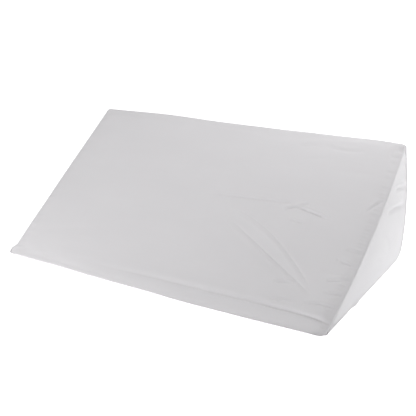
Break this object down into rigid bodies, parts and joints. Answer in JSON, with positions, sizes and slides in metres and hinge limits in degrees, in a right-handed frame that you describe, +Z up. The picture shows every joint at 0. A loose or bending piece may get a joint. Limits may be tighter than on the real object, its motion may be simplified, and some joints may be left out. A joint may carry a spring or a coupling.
{
  "type": "wedge pillow",
  "caption": "Triangular foam-filled wedge pillow in a plain sewn cloth cover, resting flat on its base with a long slope rising to a soft top edge.",
  "frame": {"origin": "on the floor, under the middle of the pillow's bounding box", "axes": "+X along the pillow's length, to the right as seen from its thin front edge; +Y from the thin front edge to the tall back; +Z up"},
  "size_m": [0.617, 0.3168, 0.2005],
  "materials": {
    "cover_cloth": "plain white woven cotton, matt",
    "end_cloth": "plain white woven cotton, matt, cut as a triangle"
  },
  "bodies": {
    "root": {"filled_wrap": "cover_cloth", "end_panel_left": "end_cloth", "end_panel_right": "end_cloth"}
  },
  "joints": []
}
